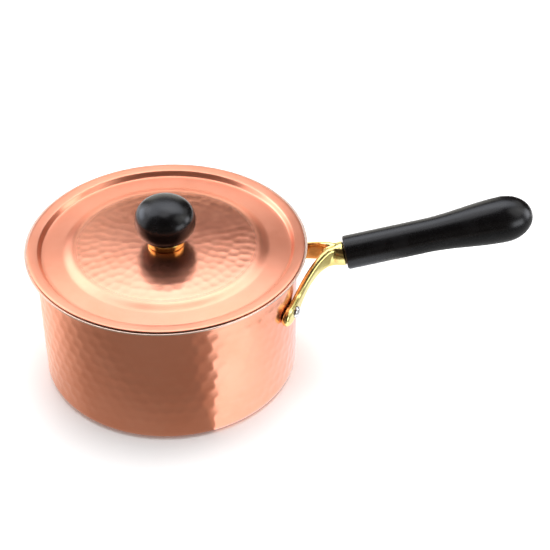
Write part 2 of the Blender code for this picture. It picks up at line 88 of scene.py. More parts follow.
class Finish:
    # A material and its nodes.
    def __init__(self, name):
        self.material = bpy.data.materials.new(name)
        self.material.use_nodes = True
        self.tree = self.material.node_tree
        self.tree.nodes.clear()

    def node(self, kind, settings=None, sockets=None, output=0):
        # Adds a node: its own settings first, then what its sockets are given or linked to.
        made = self.tree.nodes.new("ShaderNode" + kind)
        for name, value in (settings or {}).items():
            if name == "stops":
                self.setRamp(made.color_ramp, value)
            else:
                setattr(made, name, value)
        for name, value in (sockets or {}).items():
            if isinstance(value, Wire):
                self.tree.links.new(value.socket, made.inputs[name])
            else:
                made.inputs[name].default_value = value
        return Wire(self, made.outputs[output]) if made.outputs else None

    def setRamp(self, ramp, stops):
        # Stops are (place, grey) or (place, colour).
        while len(ramp.elements) > 1:
            ramp.elements.remove(ramp.elements[-1])
        for index, (place, colour) in enumerate(stops):
            stop = ramp.elements[0] if index == 0 else ramp.elements.new(place)
            stop.position = place
            colour = colour if isinstance(colour, tuple) else (colour, colour, colour)
            stop.color = (*colour, 1)

    def at(self, scale=(1, 1, 1)):
        # Object coordinates, scaled.
        place = self.node("TexCoord", output="Object")
        return self.node("Mapping", {}, {"Vector": place, "Scale": scale})

    def noise(self, place, scale, detail, roughness):
        return self.node("TexNoise", {}, {
            "Vector": place, "Scale": scale, "Detail": detail, "Roughness": roughness})

    def ramp(self, value, stops):
        return self.node("ValToRGB", {"stops": stops}, {"Fac": value})

    def mix(self, share, first, second, blend="MIX"):
        # Blend of two colours.
        return self.node("Mix", {"data_type": "RGBA", "blend_type": blend},
                         {0: share, 6: first, 7: second}, output=2)

    def coordinates(self):
        # Object X, Y and Z as numbers.
        parts = self.node("SeparateXYZ", {}, {0: self.at()})
        return [Wire(self, end) for end in parts.socket.node.outputs]

    def aroundAxis(self):
        # Distance from the pan's axis, the angle round it and the height.
        across, along, height = self.coordinates()
        distance = (across * across + along * along) ** 0.5
        return distance, along.sum("ARCTAN2", along, across), height

    def join(self, across, along, height):
        return self.node("CombineXYZ", {}, {0: across, 1: along, 2: height})

    def metal(self, colour, roughness, normal, draw=0.0, drawTurn=0.0):
        # Polished or brushed metal. Draw is how far its lines draw out a reflection.
        return self.node("BsdfPrincipled", {}, {
            "Base Color": colour, "Metallic": 1.0, "Roughness": roughness, "Normal": normal,
            "Anisotropic": draw, "Anisotropic Rotation": drawTurn})

    def bump(self, height, distance, strength=1.0):
        return self.node("Bump", {}, {"Strength": strength, "Distance": distance, "Height": height})

    def finishWith(self, shader):
        self.node("OutputMaterial", {}, {"Surface": shader})
        return self.material


def rgb(red, green, blue):
    return (red, green, blue, 1)


def softEdge(finish, value, start, end):
    # 0 before start, 1 past end. The other way round when start is past end.
    return finish.node("MapRange", {"interpolation_type": "SMOOTHSTEP"},
                       {"Value": value, "From Min": start, "From Max": end})


def softBand(finish, value, low, high, soft):
    # 1 between low and high, with soft ends.
    start = softEdge(finish, value, low - soft, low + soft)
    return start * softEdge(finish, value, high + soft, high - soft)


# Finishes

copperLook = {
    "clean": rgb(0.90, 0.388, 0.248),
    "warm": rgb(0.85, 0.340, 0.205),     # slow patches where it has begun to darken
    "patchSize": 26,                     # patches per metre
    "hammeredRoughness": 0.20,
    "spunRoughness": 0.31,
    "spunDraw": 0.80,                    # how far the rings draw out a reflection
    "spunHaze": 0.17,                    # share of the light that the finest grain scatters
    "hammeredHaze": 0.07,
    "haze": rgb(0.89, 0.335, 0.20),      # deeper, as light that strikes the grain more than once
    "hazeRoughness": 0.52,
    "roughnessSpread": 0.06,
    "grainSpread": 0.04,                 # what the grain adds to the roughness
    "spunGrain": (420, 1.2, 60),         # grain per metre out, per radian round and per metre up
    "hammeredGrain": (200, 30, 900),
    "fineGrain": 1400,
    "grain": 0.000006,                   # depth of the polishing grain
    "bare": rgb(0.90, 0.45, 0.30),       # smears wiped clean
    "smearSize": 95,
    "change": 0.0040,                    # half the width of the change from hammered to spun
}


def copperShader(finish, look, spun):
    # Spun work has its grain in rings, and hammered work a fine mottled grain.
    place = finish.at()
    distance, angle, height = finish.aroundAxis()
    patches = finish.noise(place, look["patchSize"], 4, 0.6)
    smears = finish.noise(finish.at(scale=(1, 1, 2.5)), look["smearSize"], 3, 0.6)
    out, around, up = look["spunGrain"] if spun else look["hammeredGrain"]
    rings = finish.join(distance * out, angle * around, height * up)
    grain = finish.noise(rings, 3.2, 4, 0.7)
    fine = finish.noise(place, look["fineGrain"], 2, 0.5)
    share = finish.ramp(patches, [(0.35, 0.0), (0.70, 1.0)])
    colour = finish.mix(share, look["clean"], look["warm"])
    colour = finish.mix(finish.ramp(smears, [(0.50, 0.0), (0.80, 0.30)]), colour, look["bare"])
    roughness = look["spunRoughness"] if spun else look["hammeredRoughness"]
    roughness = roughness + (smears - 0.5) * look["roughnessSpread"]
    roughness = roughness + (grain - 0.5) * look["grainSpread"]
    bump = finish.bump(grain * 0.7 + fine * 0.3, look["grain"])
    shader = finish.metal(colour, roughness, bump, look["spunDraw"] if spun else 0.0, drawTurn=0.25)
    haze = finish.metal(look["haze"], smears * 0.1 + look["hazeRoughness"], bump)
    share = look["spunHaze"] if spun else look["hammeredHaze"]
    return finish.node("MixShader", {}, {0: (smears + 0.5) * share, 1: shader, 2: haze})


def polishedCopper(name, look, spun):
    finish = Finish(name)
    return finish.finishWith(copperShader(finish, look, spun))


def lidCopper(name, look):
    # Hammered in the middle and spun outside, with a soft change between them.
    finish = Finish(name)
    distance = finish.aroundAxis()[0]
    outside = softEdge(finish, distance, crownRadius - look["change"], crownRadius + look["change"])
    shader = finish.node("MixShader", {}, {
        0: outside, 1: copperShader(finish, look, False), 2: copperShader(finish, look, True)})
    return finish.finishWith(shader)


tinLook = {
    "bright": rgb(0.80, 0.79, 0.77),
    "dull": rgb(0.62, 0.61, 0.59),
    "rim": rgb(0.80, 0.60, 0.48),        # the lip, where the copper shows through
    "rimStart": 0.0915,                  # from the pan's axis
    "rimEnd": 0.0945,
    "clouds": 60,                        # per metre
    "wipes": (900, 4),                   # marks per metre across and per radian round
    "roughness": 0.26,
    "wipeSpread": 0.16,
    "cloudSpread": 0.10,
    "grain": 0.000025,
}


def wipedTin(name, look):
    # Tin wiped over the copper: soft, slightly cloudy, with wipe marks round the pan.
    finish = Finish(name)
    distance, angle, height = finish.aroundAxis()
    clouds = finish.noise(finish.at(), look["clouds"], 4, 0.6)
    fine, around = look["wipes"]
    rings = finish.join(distance * fine, angle * around, height * fine)
    wipes = finish.noise(rings, 2.0, 5, 0.7)
    share = finish.ramp(clouds, [(0.35, 0.0), (0.75, 1.0)])
    colour = finish.mix(share, look["bright"], look["dull"])
    rim = softEdge(finish, distance, look["rimStart"], look["rimEnd"])
    colour = finish.mix(rim, colour, look["rim"])
    roughness = look["roughness"] + (wipes - 0.5) * look["wipeSpread"]
    roughness = roughness + (clouds - 0.5) * look["cloudSpread"]
    return finish.finishWith(finish.metal(colour, roughness, finish.bump(wipes, look["grain"])))


castBrassLook = {
    "bright": rgb(0.88, 0.76, 0.31),
    "deep": rgb(0.76, 0.61, 0.19),
    "roughness": 0.20,
    "lineSpread": 0.10,
    "cloudSpread": 0.08,
    "clouds": 70,            # per metre, as the lines and pits are
    "lines": 500,
    "pits": 420,
    "sink": 0.00003,         # depth of lines and pits
}
turnedBrassLook = dict(castBrassLook, bright=rgb(0.88, 0.70, 0.22), roughness=0.09, lines=900)


def polishedBrass(name, look):
    # Polished brass: faint cloudiness, fine polishing lines and a few pits.
    finish = Finish(name)
    place = finish.at()
    clouds = finish.noise(place, look["clouds"], 4, 0.6)
    lines = finish.noise(finish.at(scale=(1, 1, 6)), look["lines"], 3, 0.6)
    pits = finish.node("TexVoronoi", {"feature": "F1"}, {"Vector": place, "Scale": look["pits"]})
    pitMask = finish.ramp(pits, [(0.05, 1.0), (0.16, 0.0)])
    share = finish.ramp(clouds, [(0.35, 0.0), (0.75, 1.0)])
    colour = finish.mix(share, look["bright"], look["deep"])
    roughness = look["roughness"] + (lines - 0.5) * look["lineSpread"]
    roughness = roughness + (clouds - 0.5) * look["cloudSpread"]
    bump = finish.bump(lines * 0.6 - pitMask * 0.5, look["sink"])
    return finish.finishWith(finish.metal(colour, roughness, bump))


gripLook = {
    "black": rgb(0.0015, 0.0015, 0.0018),
    "rubbed": rgb(0.0045, 0.0045, 0.0050),
    "roughness": 0.27,
    "markSpread": 0.12,
    "hairlineSpread": 0.05,
    "specular": 0.38,
    "marks": 70,             # handling marks per metre
    "texture": 900,          # bumps of the moulded skin per metre
    "skin": 0.00004,         # depth of those bumps
}
knobLook = dict(gripLook, roughness=0.26, specular=0.37)


def mouldedBlack(name, look):
    # Black moulding compound: an even skin with faint handling marks.
    finish = Finish(name)
    place = finish.at()
    skin = finish.noise(place, look["texture"], 3, 0.55)
    marks = finish.noise(place, look["marks"], 4, 0.65)
    hairlines = finish.noise(finish.at(scale=(0.3, 1, 1)), look["texture"], 2, 0.5)
    rubbed = finish.ramp(marks, [(0.48, 0.0), (0.80, 1.0)])
    colour = finish.mix(rubbed, look["black"], look["rubbed"])
    roughness = look["roughness"] + (marks - 0.5) * look["markSpread"]
    roughness = roughness + (hairlines - 0.5) * look["hairlineSpread"]
    shader = finish.node("BsdfPrincipled", {}, {
        "Base Color": colour, "Metallic": 0.0, "Roughness": roughness,
        "Specular IOR Level": look["specular"], "Normal": finish.bump(skin, look["skin"], 0.6)})
    return finish.finishWith(shader)


steelLook = {
    "bright": rgb(0.72, 0.72, 0.73),
    "dull": rgb(0.52, 0.52, 0.54),
    "roughness": 0.24,
    "cloudSpread": 0.20,
    "clouds": 260,           # per metre
    "lines": 1500,
    "sink": 0.00003,
}
rivetLook = dict(steelLook, bright=rgb(0.86, 0.85, 0.83), roughness=0.16)


def platedSteel(name, look):
    # Plated steel of the small fixings: cloudy plating with fine turning lines.
    finish = Finish(name)
    place = finish.at()
    clouds = finish.noise(place, look["clouds"], 4, 0.6)
    lines = finish.noise(finish.at(scale=(1, 1, 5)), look["lines"], 2, 0.5)
    share = finish.ramp(clouds, [(0.35, 0.0), (0.70, 1.0)])
    colour = finish.mix(share, look["bright"], look["dull"])
    roughness = look["roughness"] + (clouds - 0.5) * look["cloudSpread"]
    return finish.finishWith(finish.metal(colour, roughness, finish.bump(lines, look["sink"], 0.5)))


hammeredCopper = polishedCopper("hammeredCopper", copperLook, spun=False)
spunCopper = polishedCopper("spunCopper", copperLook, spun=True)
lidTopCopper = lidCopper("lidTopCopper", copperLook)
tinLining = wipedTin("tinLining", tinLook)
castBrass = polishedBrass("castBrass", castBrassLook)
turnedBrass = polishedBrass("turnedBrass", turnedBrassLook)
gripBlack = mouldedBlack("gripBlack", gripLook)
knobBlack = mouldedBlack("knobBlack", knobLook)
rivetTin = platedSteel("rivetTin", rivetLook)
fixingSteel = platedSteel("fixingSteel", steelLook)
print("finishes made")


# Turned shapes

def arc(centre, radius, start, end, steps):
    # (radius, height) points round a centre, both ends included. Angles in degrees.
    turns = [math.radians(start + (end - start) * step / steps) for step in range(steps + 1)]
    return [(centre[0] + radius * math.cos(turn), centre[1] + radius * math.sin(turn))
            for turn in turns]


def between(first, last, count):
    # Points along a straight line, without its first point.
    return [tuple(a + (b - a) * step / count for a, b in zip(first, last))
            for step in range(1, count + 1)]


def ease(share):
    # 0 up to a share of 0, 1 from a share of 1, and a soft change between.
    share = min(max(share, 0), 1)
    return share * share * (3 - 2 * share)


def spun(outline, steps, closed):
    # Turn an outline of (radius, height) points round the upright axis: an eighth is
    # spun, then doubled three times.
    work = bmesh.new()
    corners = [work.verts.new((radius, 0, height)) for radius, height in outline]
    pairs = list(zip(corners, corners[1:]))
    if closed:
        pairs.append((corners[-1], corners[0]))
    for pair in pairs:
        work.edges.new(pair)
    bmesh.ops.spin(work, geom=work.verts[:] + work.edges[:], cent=(0, 0, 0), axis=(0, 0, 1),
                   angle=math.tau / 8, steps=steps // 8)
    for turn in (math.tau / 8, math.tau / 4, math.tau / 2):
        copy = bmesh.ops.duplicate(work, geom=work.verts[:] + work.edges[:] + work.faces[:])
        copied = [part for part in copy["geom"] if isinstance(part, bmesh.types.BMVert)]
        bmesh.ops.rotate(work, cent=(0, 0, 0), matrix=Matrix.Rotation(turn, 3, "Z"), verts=copied)
    bmesh.ops.remove_doubles(work, verts=work.verts, dist=weldDistance)
    bmesh.ops.recalc_face_normals(work, faces=work.faces)
    return work


def lieAlong(work, direction, start):
    # Lean an upright turned shape over and move its foot to its place.
    lean = Vector((0, 0, 1)).rotation_difference(direction)
    bmesh.ops.rotate(work, cent=(0, 0, 0), matrix=lean.to_matrix(), verts=work.verts)
    bmesh.ops.translate(work, vec=start, verts=work.verts)


def roundEdges(work, edges, radius, segments):
    bmesh.ops.bevel(work, geom=edges, offset=radius, offset_type="OFFSET", segments=segments,
                    profile=0.5, affect="EDGES", material=-1)


def edgesSharperThan(work, angle):
    return [edge for edge in work.edges if edge.calc_face_angle(0) > math.radians(angle)]


def finished(name, work, materials, body, slot, *nodes):
    # Make the object, let it ride on its body and stand for its CAD nodes.
    mesh = bpy.data.meshes.new(name)
    work.to_mesh(mesh)
    work.free()
    mesh.shade_smooth()
    mesh.set_sharp_from_angle(angle=math.radians(sharpAngle))
    piece = bpy.data.objects.new(name, mesh)
    bpy.context.scene.collection.objects.link(piece)
    for material in materials:
        mesh.materials.append(material)
    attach(piece, body)
    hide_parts(*nodes)
    print(name, "made:", len(mesh.polygons), "faces")
    return piece


# Hammer marks: shallow dishes that meet in soft ridges.

class HammerMarks:
    # Reach is a dish's radius where it meets the plain sheet, and softness rounds the ridges.
    def __init__(self, places, depths, reach, softness):
        self.tree = KDTree(len(places))
        for index, place in enumerate(places):
            self.tree.insert(place, index)
        self.tree.balance()
        self.depths = depths
        self.reach = reach
        self.softness = softness

    def depth(self, place):
        dishes = []
        for found, index, distance in self.tree.find_n(place, 2):
            dishes.append(self.depths[index] * (1 - (distance / self.reach) ** 2))
        gap = (dishes[0] - dishes[1]) / self.softness
        blend = max(1 - abs(gap), 0) ** 2 * self.softness / 4
        return max(max(dishes) + blend, 0)


# Pan

pan = {
    "wallTopRadius": 0.0912,
    "wallBaseRadius": 0.0906,
    "sheet": 0.0012,
    "corner": 0.0060,          # base corner, outside
    "wallTop": 0.0939,
    "lipCurl": 0.0060,
    "lipAngle": 75,
    "lipEdge": 0.0981,
    "edgeRound": 0.00035,
    "edgeAngle": 50,           # degrees: sharper edges are rounded
    "edgeBand": 0.0001,        # width of the lip's edge that shows the lining
    "spunHeight": 0.001,       # the base is spun up to here
    "steps": 400,
    "wallRows": 70,
    "baseRows": 12,
    "markPitch": 0.0096,
    "markRow": 0.0084,
    "markStart": 0.0040,       # height of the lowest row
    "markDepth": 0.00040,
    "markSpread": (0.75, 1.15),
    "markJitter": 0.0010,
    "markReach": 0.66,         # share of the pitch
    "markSoftness": 0.4,       # share of the depth
    "markFadeIn": (0.0050, 0.0100),
    "markFadeOut": (0.0949, 0.0889),
    "markFloor": 0.08,         # no marks nearer the axis, on the base
}


def wallMarks(pan):
    # Rows of hammer marks round the wall, each row half a mark on from the last.
    chance = random.Random(11)
    count = round(math.tau * pan["wallTopRadius"] / pan["markPitch"])
    radius, jitter = pan["wallTopRadius"], pan["markJitter"]
    rows = int((pan["wallTop"] - pan["markStart"]) / pan["markRow"]) + 2
    places, depths = [], []
    for row in range(rows):
        height = pan["markStart"] + row * pan["markRow"]
        for mark in range(count):
            turn = math.tau * (mark + 0.5 * (row % 2)) / count
            turn += chance.uniform(-1, 1) * jitter / radius
            lift = height + chance.uniform(-1, 1) * jitter
            places.append((radius * math.cos(turn), radius * math.sin(turn), lift))
            depths.append(pan["markDepth"] * chance.uniform(*pan["markSpread"]))
    return HammerMarks(places, depths, pan["markPitch"] * pan["markReach"],
                       pan["markDepth"] * pan["markSoftness"])


def panOutline(pan):
    # Outside from the middle of the base, up the wall and out to the lip's edge, then
    # back inside.
    sheet, corner, curl = pan["sheet"], pan["corner"], pan["lipCurl"]
    flare = math.radians(pan["lipAngle"])
    base, top = pan["wallBaseRadius"], pan["wallTopRadius"]
    outside = [(0, 0)] + between((0, 0), (base - corner, 0), pan["baseRows"])
    outside += arc((base - corner, corner), corner, -90, 0, 9)[1:]
    outside += between((base, corner), (top, pan["wallTop"]), pan["wallRows"])
    curlCentre = (top + curl, pan["wallTop"])
    outside += arc(curlCentre, curl, 180, 180 - pan["lipAngle"], 10)[1:]
    curlRadius, curlHeight = outside[-1]
    edgeHeight = curlHeight + (pan["lipEdge"] - curlRadius) / math.tan(flare)
    outside.append((pan["lipEdge"], edgeHeight))
    inside = [(pan["lipEdge"], edgeHeight + sheet / math.sin(flare))]
    inside += arc(curlCentre, curl + sheet, 180 - pan["lipAngle"], 180, 10)
    inside += between((top - sheet, pan["wallTop"]), (base - sheet, corner), pan["wallRows"])
    inside += arc((base - corner, corner), corner - sheet, 0, -90, 7)[1:]
    inside += between((base - corner, sheet), (0, sheet), pan["baseRows"])
    return outside + inside


def makePan(pan):
    # Hammered copper outside, tin inside and on the lip's edge, spun copper under the base.
    work = spun(panOutline(pan), pan["steps"], closed=False)
    for face in work.faces:
        middle = face.calc_center_median()
        outward = Vector((middle.x, middle.y, 0)).normalized()
        outside = face.normal.dot(outward) - face.normal.z > 0
        lining = not outside or middle.xy.length > pan["lipEdge"] - pan["edgeBand"]
        face.material_index = 1 if lining else 2 if middle.z < pan["spunHeight"] else 0
    roundEdges(work, edgesSharperThan(work, pan["edgeAngle"]), pan["edgeRound"], 2)
    marks = wallMarks(pan)
    lowStart, lowEnd = pan["markFadeIn"]
    highStart, highEnd = pan["markFadeOut"]
    for vert in work.verts:
        height, radius = vert.co.z, vert.co.xy.length
        fade = ease((height - lowStart) / (lowEnd - lowStart))
        fade *= ease((highStart - height) / (highStart - highEnd))
        if fade > 0 and radius > pan["markFloor"]:
            outward = Vector((vert.co.x, vert.co.y, 0)) / radius
            depth = marks.depth(outward * pan["wallTopRadius"] + Vector((0, 0, height)))
            vert.co -= outward * depth * fade
    finished("hammeredPan", work, [hammeredCopper, tinLining, spunCopper],
             "pan", "pan_copper", "pan_shell")


makePan(pan)


# Lid

lid = {
    "sheet": 0.0010,
    "hole": 0.0028,
    "crownTop": 0.102186,
    "crownEdge": 0.100786,
    "shoulderFoot": 0.0727,
    "shoulderFootHeight": 0.098586,
    "trayOuter": 0.0864,
    "trayHeight": 0.098286,
    "stepRadius": 0.0894,
    "stepTop": 0.101986,
    "edgeRadius": 0.0962,
    "edgeTop": 0.102386,
    "edgeRound": 0.0003,
    "edgeAngle": 50,
    "steps": 320,
    "crownRings": 50,
    "markPitch": 0.0071,
    "markRing": 0.0068,
    "markStart": 0.0629,        # radius of the outermost ring
    "markEnd": 0.0120,          # no marks under the ferrule
    "markDepth": 0.00010,
    "markSpread": (0.7, 1.15),
    "markMean": 0.55,           # mean depth, so the crown keeps its height
    "markJitter": 0.0012,
    "markReach": 0.64,          # share of the pitch
    "markSoftness": 0.3,        # share of the depth
    "markFade": (0.0669, 0.0589),
    "markEndFade": 0.003,       # width of the fade outside the ferrule
    "middleForce": 0.5,         # share of the depth that marks near the knob have
    "middleStart": 0.030,
    "middleWidth": 0.030,
}


def crownMarks(lid):
    # Rings of hammer marks over the lid's middle.
    chance = random.Random(5)
    places, depths = [], []
    radius = lid["markStart"]
    while radius > lid["markEnd"]:
        count = round(math.tau * radius / lid["markPitch"])
        phase = chance.uniform(0, math.tau)
        for mark in range(count):
            turn = math.tau * mark / count + phase
            reach = radius + chance.uniform(-1, 1) * lid["markJitter"]
            turn += chance.uniform(-1, 1) * lid["markJitter"] / radius
            places.append((reach * math.cos(turn), reach * math.sin(turn), 0))
            depths.append(lid["markDepth"] * chance.uniform(*lid["markSpread"]))
        radius -= lid["markRing"]
    return HammerMarks(places, depths, lid["markPitch"] * lid["markReach"],
                       lid["markDepth"] * lid["markSoftness"])


def lidTop(lid):
    # Upper side from the screw hole out to the edge.
    points = []
    doming = lid["crownTop"] - lid["crownEdge"]
    for step in range(lid["crownRings"]):
        radius = lid["hole"] + (crownRadius - lid["hole"]) * step / lid["crownRings"]
        points.append((radius, lid["crownTop"] - doming * (radius / crownRadius) ** 2))
    drop = lid["crownEdge"] - lid["shoulderFootHeight"]
    width = lid["shoulderFoot"] - crownRadius
    slope = 2 * doming / crownRadius
    for step in range(17):
        share = step / 16
        lead = share * (1 - share) ** 2 * width * slope
        points.append((crownRadius + width * share, lid["crownEdge"] - drop * ease(share) - lead))
    points += between(points[-1], (lid["trayOuter"], lid["trayHeight"]), 6)
    rise = lid["stepTop"] - lid["trayHeight"]
    for step in range(1, 15):
        share = step / 14
        radius = lid["trayOuter"] + (lid["stepRadius"] - lid["trayOuter"]) * share
        points.append((radius, lid["trayHeight"] + rise * ease(share)))
    points += between(points[-1], (lid["edgeRadius"], lid["edgeTop"]), 3)
    return points


def sheetBehind(points, thickness):
    # The other side of a pressed sheet, square behind each point.
    behind = []
    for index, (radius, height) in enumerate(points):
        before = points[max(index - 1, 0)]
        after = points[min(index + 1, len(points) - 1)]
        run, rise = after[0] - before[0], after[1] - before[1]
        length = math.hypot(run, rise)
        behind.append((radius + thickness * rise / length, height - thickness * run / length))
    behind[-1] = (points[-1][0], behind[-1][1])
    behind[0] = (points[0][0], behind[0][1])
    return behind


def makeLid(lid):
    top = lidTop(lid)
    work = spun(top + sheetBehind(top, lid["sheet"])[::-1], lid["steps"], closed=True)
    for face in work.faces:
        if face.normal.z < -0.1:
            face.material_index = 1
    roundEdges(work, edgesSharperThan(work, lid["edgeAngle"]), lid["edgeRound"], 2)
    marks = crownMarks(lid)
    mean = lid["markDepth"] * lid["markMean"]
    fadeStart, fadeEnd = lid["markFade"]
    for vert in work.verts:
        radius = vert.co.xy.length
        fade = ease((fadeStart - radius) / (fadeStart - fadeEnd))
        fade *= ease((radius - lid["markEnd"]) / lid["markEndFade"])
        if fade > 0:
            outer = ease((radius - lid["middleStart"]) / lid["middleWidth"])
            force = lid["middleForce"] + (1 - lid["middleForce"]) * outer
            depth = marks.depth(Vector((vert.co.x, vert.co.y, 0))) - mean
            vert.co.z -= depth * fade * force
    finished("pressedLid", work, [lidTopCopper, tinLining], "lid", "lid_copper", "lid_sheet")


makeLid(lid)


# Knob

knob = {
    "radius": 0.0210,
    "footRadius": 0.0128,
    "foot": 0.107186,
    "waist": 0.0142,
    "height": 0.0305,
    "squareness": 2.3,       # 2 is an ellipse
    "boreRadius": 0.00455,
    "boreDepth": 0.0146,
    "footRound": 0.0006,
    "footAngle": 40,         # degrees: sharper edges are rounded
    "crownRings": 32,
    "lowerRings": 24,
    "steps": 128,
}


def makeKnob(knob):
    crown, power = knob["height"] - knob["waist"], 2 / knob["squareness"]
    footTurn = math.acos((knob["footRadius"] / knob["radius"]) ** (1 / power))
    lower = knob["waist"] / math.sin(footTurn) ** power
    outline = [(0, knob["height"])]
    for step in range(knob["crownRings"] - 1, 0, -1):
        turn = math.pi / 2 * step / knob["crownRings"]
        outline.append((knob["radius"] * math.cos(turn) ** power,
                        knob["waist"] + crown * math.sin(turn) ** power))
    for step in range(knob["lowerRings"] + 1):
        turn = footTurn * step / knob["lowerRings"]
        outline.append((knob["radius"] * math.cos(turn) ** power,
                        knob["waist"] - lower * math.sin(turn) ** power))
    bore, depth = knob["boreRadius"], knob["boreDepth"]
    outline += [(bore, 0), (bore, depth), (0, depth)]
    work = spun(outline, knob["steps"], closed=False)
    roundEdges(work, edgesSharperThan(work, knob["footAngle"]), knob["footRound"], 3)
    bmesh.ops.translate(work, vec=(0, 0, knob["foot"]), verts=work.verts)
    finished("lidKnob", work, [knobBlack], "lid", "knob_black", "lid_knob")


makeKnob(knob)


# Ferrule

ferrule = {
    "radius": 0.0129,
    "bottom": 0.102486,
    "height": 0.0044,
    "hole": 0.0028,
    "edgeRound": 0.0006,
    "edgeAngle": 50,
    "roundFrom": 0.01,       # edges nearer the axis stay sharp
    "steps": 128,
}


def makeFerrule(ferrule):
    # A plain ring whose outer edges are rounded.
    outline = [(ferrule["hole"], ferrule["height"]), (ferrule["radius"], ferrule["height"]),
               (ferrule["radius"], 0), (ferrule["hole"], 0)]
    work = spun(outline, ferrule["steps"], closed=True)
    edges = [edge for edge in edgesSharperThan(work, ferrule["edgeAngle"])
             if edge.verts[0].co.xy.length > ferrule["roundFrom"]]
    roundEdges(work, edges, ferrule["edgeRound"], 4)
    bmesh.ops.translate(work, vec=(0, 0, ferrule["bottom"]), verts=work.verts)
    finished("knobFerrule", work, [turnedBrass], "lid", "ferrule_brass", "knob_ferrule")


makeFerrule(ferrule)


# Handle

handle = {
    "incline": 12.1,
    "start": Vector((0.1251, 0, 0.0866)),
    "length": 0.1338,
    "neckRadius": 0.0121,
    "bulbRadius": 0.0162,
    "swellStart": 0.0580,
    "bulbPlace": 0.1130,
    "edgeRound": 0.0016,
    "boreRadius": 0.0053,
    "boreDepth": 0.0418,
    "noseRings": 24,
    "swellRings": 28,
    "steps": 112,
}


def makeGrip(handle):
    neck, bulb = handle["neckRadius"], handle["bulbRadius"]
    nose = handle["length"] - handle["bulbPlace"]
    outline = [(0, handle["length"])]
    for step in range(handle["noseRings"] - 1, 0, -1):
        turn = math.pi / 2 * step / handle["noseRings"]
        outline.append((bulb * math.cos(turn), handle["bulbPlace"] + nose * math.sin(turn)))
    swell = handle["bulbPlace"] - handle["swellStart"]
    for step in range(handle["swellRings"], -1, -1):
        share = step / handle["swellRings"]
        outline.append((neck + (bulb - neck) * ease(share), handle["swellStart"] + swell * share))
    edge, bore, depth = handle["edgeRound"], handle["boreRadius"], handle["boreDepth"]
    outline += between(outline[-1], (neck, edge), 8)
    outline += arc((neck - edge, edge), edge, 0, -90, 8)[1:]
    outline += [(bore, 0), (bore, depth), (0, depth)]
    work = spun(outline, handle["steps"], closed=False)
    incline = math.radians(handle["incline"])
    lieAlong(work, Vector((math.cos(incline), 0, math.sin(incline))), handle["start"])
    finished("handleGrip", work, [gripBlack], "pan", "grip_black", "handle_grip")


makeGrip(handle)


# Bracket

bracket = {
    "skin": 0.00048,        # fineness of the new skin
    "swell": 0.00030,       # added first, because smoothing thins the arms
    "softness": 64,         # rounds of smoothing, which fill the corners between stem and arms
}


def makeBracket(bracket):
    # The casting: the CAD node's form under a fine skin, its corners softened as a
    # casting's are.
    work = bmesh.new()
    work.from_mesh(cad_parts["handle_bracket"].data)
    bmesh.ops.remove_doubles(work, verts=work.verts, dist=weldDistance)
    piece = finished("handleBracket", work, [castBrass], "pan", "bracket_brass", "handle_bracket")
    skin = piece.modifiers.new("skin", "REMESH")
    skin.mode = "VOXEL"
    skin.voxel_size = bracket["skin"]
    skin.use_smooth_shade = True
    swell = piece.modifiers.new("swell", "DISPLACE")
    swell.strength = bracket["swell"]
    swell.mid_level = 0
    soften = piece.modifiers.new("soften", "SMOOTH")
    soften.factor = 0.5
    soften.iterations = bracket["softness"]
    graph = bpy.context.evaluated_depsgraph_get()
    shaped = bpy.data.meshes.new_from_object(piece.evaluated_get(graph))
    piece.modifiers.clear()
    piece.data = shaped
    print("handleBracket skinned:", len(shaped.polygons), "faces")


makeBracket(bracket)


# Rivets

rivet = {
    "turn": 24.7,            # degrees from the handle, round the pan
    "height": 0.0679,
    "inside": 0.0894,        # where the inner and outer heads sit, from the pan's axis
    "outside": 0.0965,
    "headRadius": 0.0043,
    "headHeight": 0.0023,
    "headFullness": 0.9,     # 1 is an ellipse, less is fuller
    "headRings": 14,
    "shank": 0.0020,
    "steps": 64,
}


def makeRivet(rivet, name, node, side):
    # A shank with a domed head at both ends. Side is -1 for the front and 1 for the rear.
    head, height, rings = rivet["headRadius"], rivet["headHeight"], rivet["headRings"]
    turns = [math.pi / 2 * step / rings for step in range(rings, -1, -1)]
    dome = [(head * math.cos(turn), height * math.sin(turn) ** rivet["headFullness"])
            for turn in turns]
    dome[0] = (0, height)
    outline = [(radius, rivet["outside"] + rise) for radius, rise in dome]
    outline += [(rivet["shank"], rivet["outside"]), (rivet["shank"], rivet["inside"])]
    outline += [(radius, rivet["inside"] - rise) for radius, rise in reversed(dome)]
    work = spun(outline, rivet["steps"], closed=False)
    turn = math.radians(rivet["turn"])
    outward = Vector((math.cos(turn), side * math.sin(turn), 0))
    lieAlong(work, outward, Vector((0, 0, rivet["height"])))
    finished(name, work, [rivetTin], "pan", "rivet_metal", node)


makeRivet(rivet, "frontRivet", "rivet_front", -1)
makeRivet(rivet, "rearRivet", "rivet_rear", 1)


# CAD nodes that keep their shape

keptNodes = {
    "tang_stud": fixingSteel,
    "grip_insert": turnedBrass,
    "knob_insert": turnedBrass,
    "knob_flat_washer": fixingSteel,
    "knob_lock_washer": fixingSteel,
    "knob_screw": fixingSteel,
}
for nodeName, material in keptNodes.items():
    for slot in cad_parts[nodeName].material_slots:
        slot.material = material
print("kept nodes dressed:", len(keptNodes))


# Studio: a white floor, a plain fill, and painted reflections that only polished things see: a
# glowing dome and glowing boards on the floor

studio = {
    "floorSize": 6,
    "floorHeight": -0.0002,
    "floorShade": 0.95,
    "floorFade": (0.6, 1.3),      # the floor runs into plain white between these distances
    "worldFill": 0.69,
    "roomRadius": 0.75,
    # painted reflection: the dim warm glow of the dome between its soft boxes, seen only in
    # polished things
    "paintedDimReflection": rgb(0.050, 0.031, 0.024),
    "boardHeight": 0.0006,
    "boardRamp": (-0.2, 0.1),     # Y of the first and the last stop of a board's greys
}
